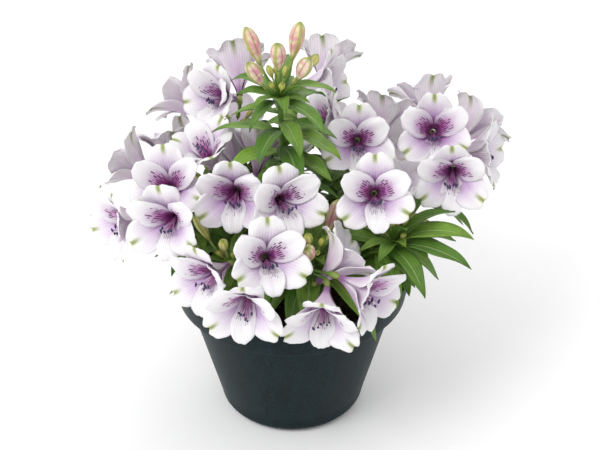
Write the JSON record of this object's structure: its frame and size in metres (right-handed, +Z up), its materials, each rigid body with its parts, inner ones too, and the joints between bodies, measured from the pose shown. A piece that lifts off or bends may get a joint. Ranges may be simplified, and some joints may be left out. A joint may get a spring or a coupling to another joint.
{
  "type": "potted alstroemeria",
  "caption": "Flowering alstroemeria, white and lilac, with leafy stems, open flowers and closed buds, growing in soil in a round tapered nursery pot.",
  "frame": {"origin": "centre of the pot's foot, on the surface that it stands on", "axes": "+Z up along the pot's axis; -Y is the side where the flowers hang lowest over the rim; +X to the right seen from there"},
  "size_m": [0.3324, 0.2971, 0.3277],
  "materials": {
    "pot_plastic": "satin",
    "potting_soil": "rough",
    "petals": "matte",
    "bud_skin": "satin",
    "leaves_and_stems": "satin"
  },
  "bodies": {
    "root": {"bud_01": "bud_skin", "bud_02": "bud_skin", "bud_03": "bud_skin", "bud_04": "bud_skin", "bud_05": "bud_skin", "bud_06": "bud_skin", "bud_07": "bud_skin", "flower_01": "petals", "flower_02": "petals", "flower_03": "petals", "flower_04": "petals", "flower_05": "petals", "flower_06": "petals", "flower_07": "petals", "flower_08": "petals", "flower_09": "petals", "flower_10": "petals", "flower_11": "petals", "flower_12": "petals", "flower_13": "petals", "flower_14": "petals", "flower_15": "petals", "flower_16": "petals", "flower_17": "petals", "flower_18": "petals", "flower_19": "petals", "flower_20": "petals", "flower_21": "petals", "flower_22": "petals", "flower_23": "petals", "flower_24": "petals", "flower_25": "petals", "flower_26": "petals", "flower_27": "petals", "flower_28": "petals", "flower_29": "petals", "flower_30": "petals", "flower_31": "petals", "flower_32": "petals", "flower_33": "petals", "flower_34": "petals", "flower_35": "petals", "pot": "pot_plastic", "soil": "potting_soil", "stem_back_left": "leaves_and_stems", "stem_back_right": "leaves_and_stems", "stem_centre_left": "leaves_and_stems", "stem_far_right": "leaves_and_stems", "stem_front_left": "leaves_and_stems", "stem_front_right": "leaves_and_stems", "stem_leafy": "leaves_and_stems", "stem_left": "leaves_and_stems", "stem_middle_right": "leaves_and_stems", "stem_rear_left": "leaves_and_stems", "stem_rear_right": "leaves_and_stems", "stem_right": "leaves_and_stems", "stem_top": "leaves_and_stems"}
  },
  "joints": []
}
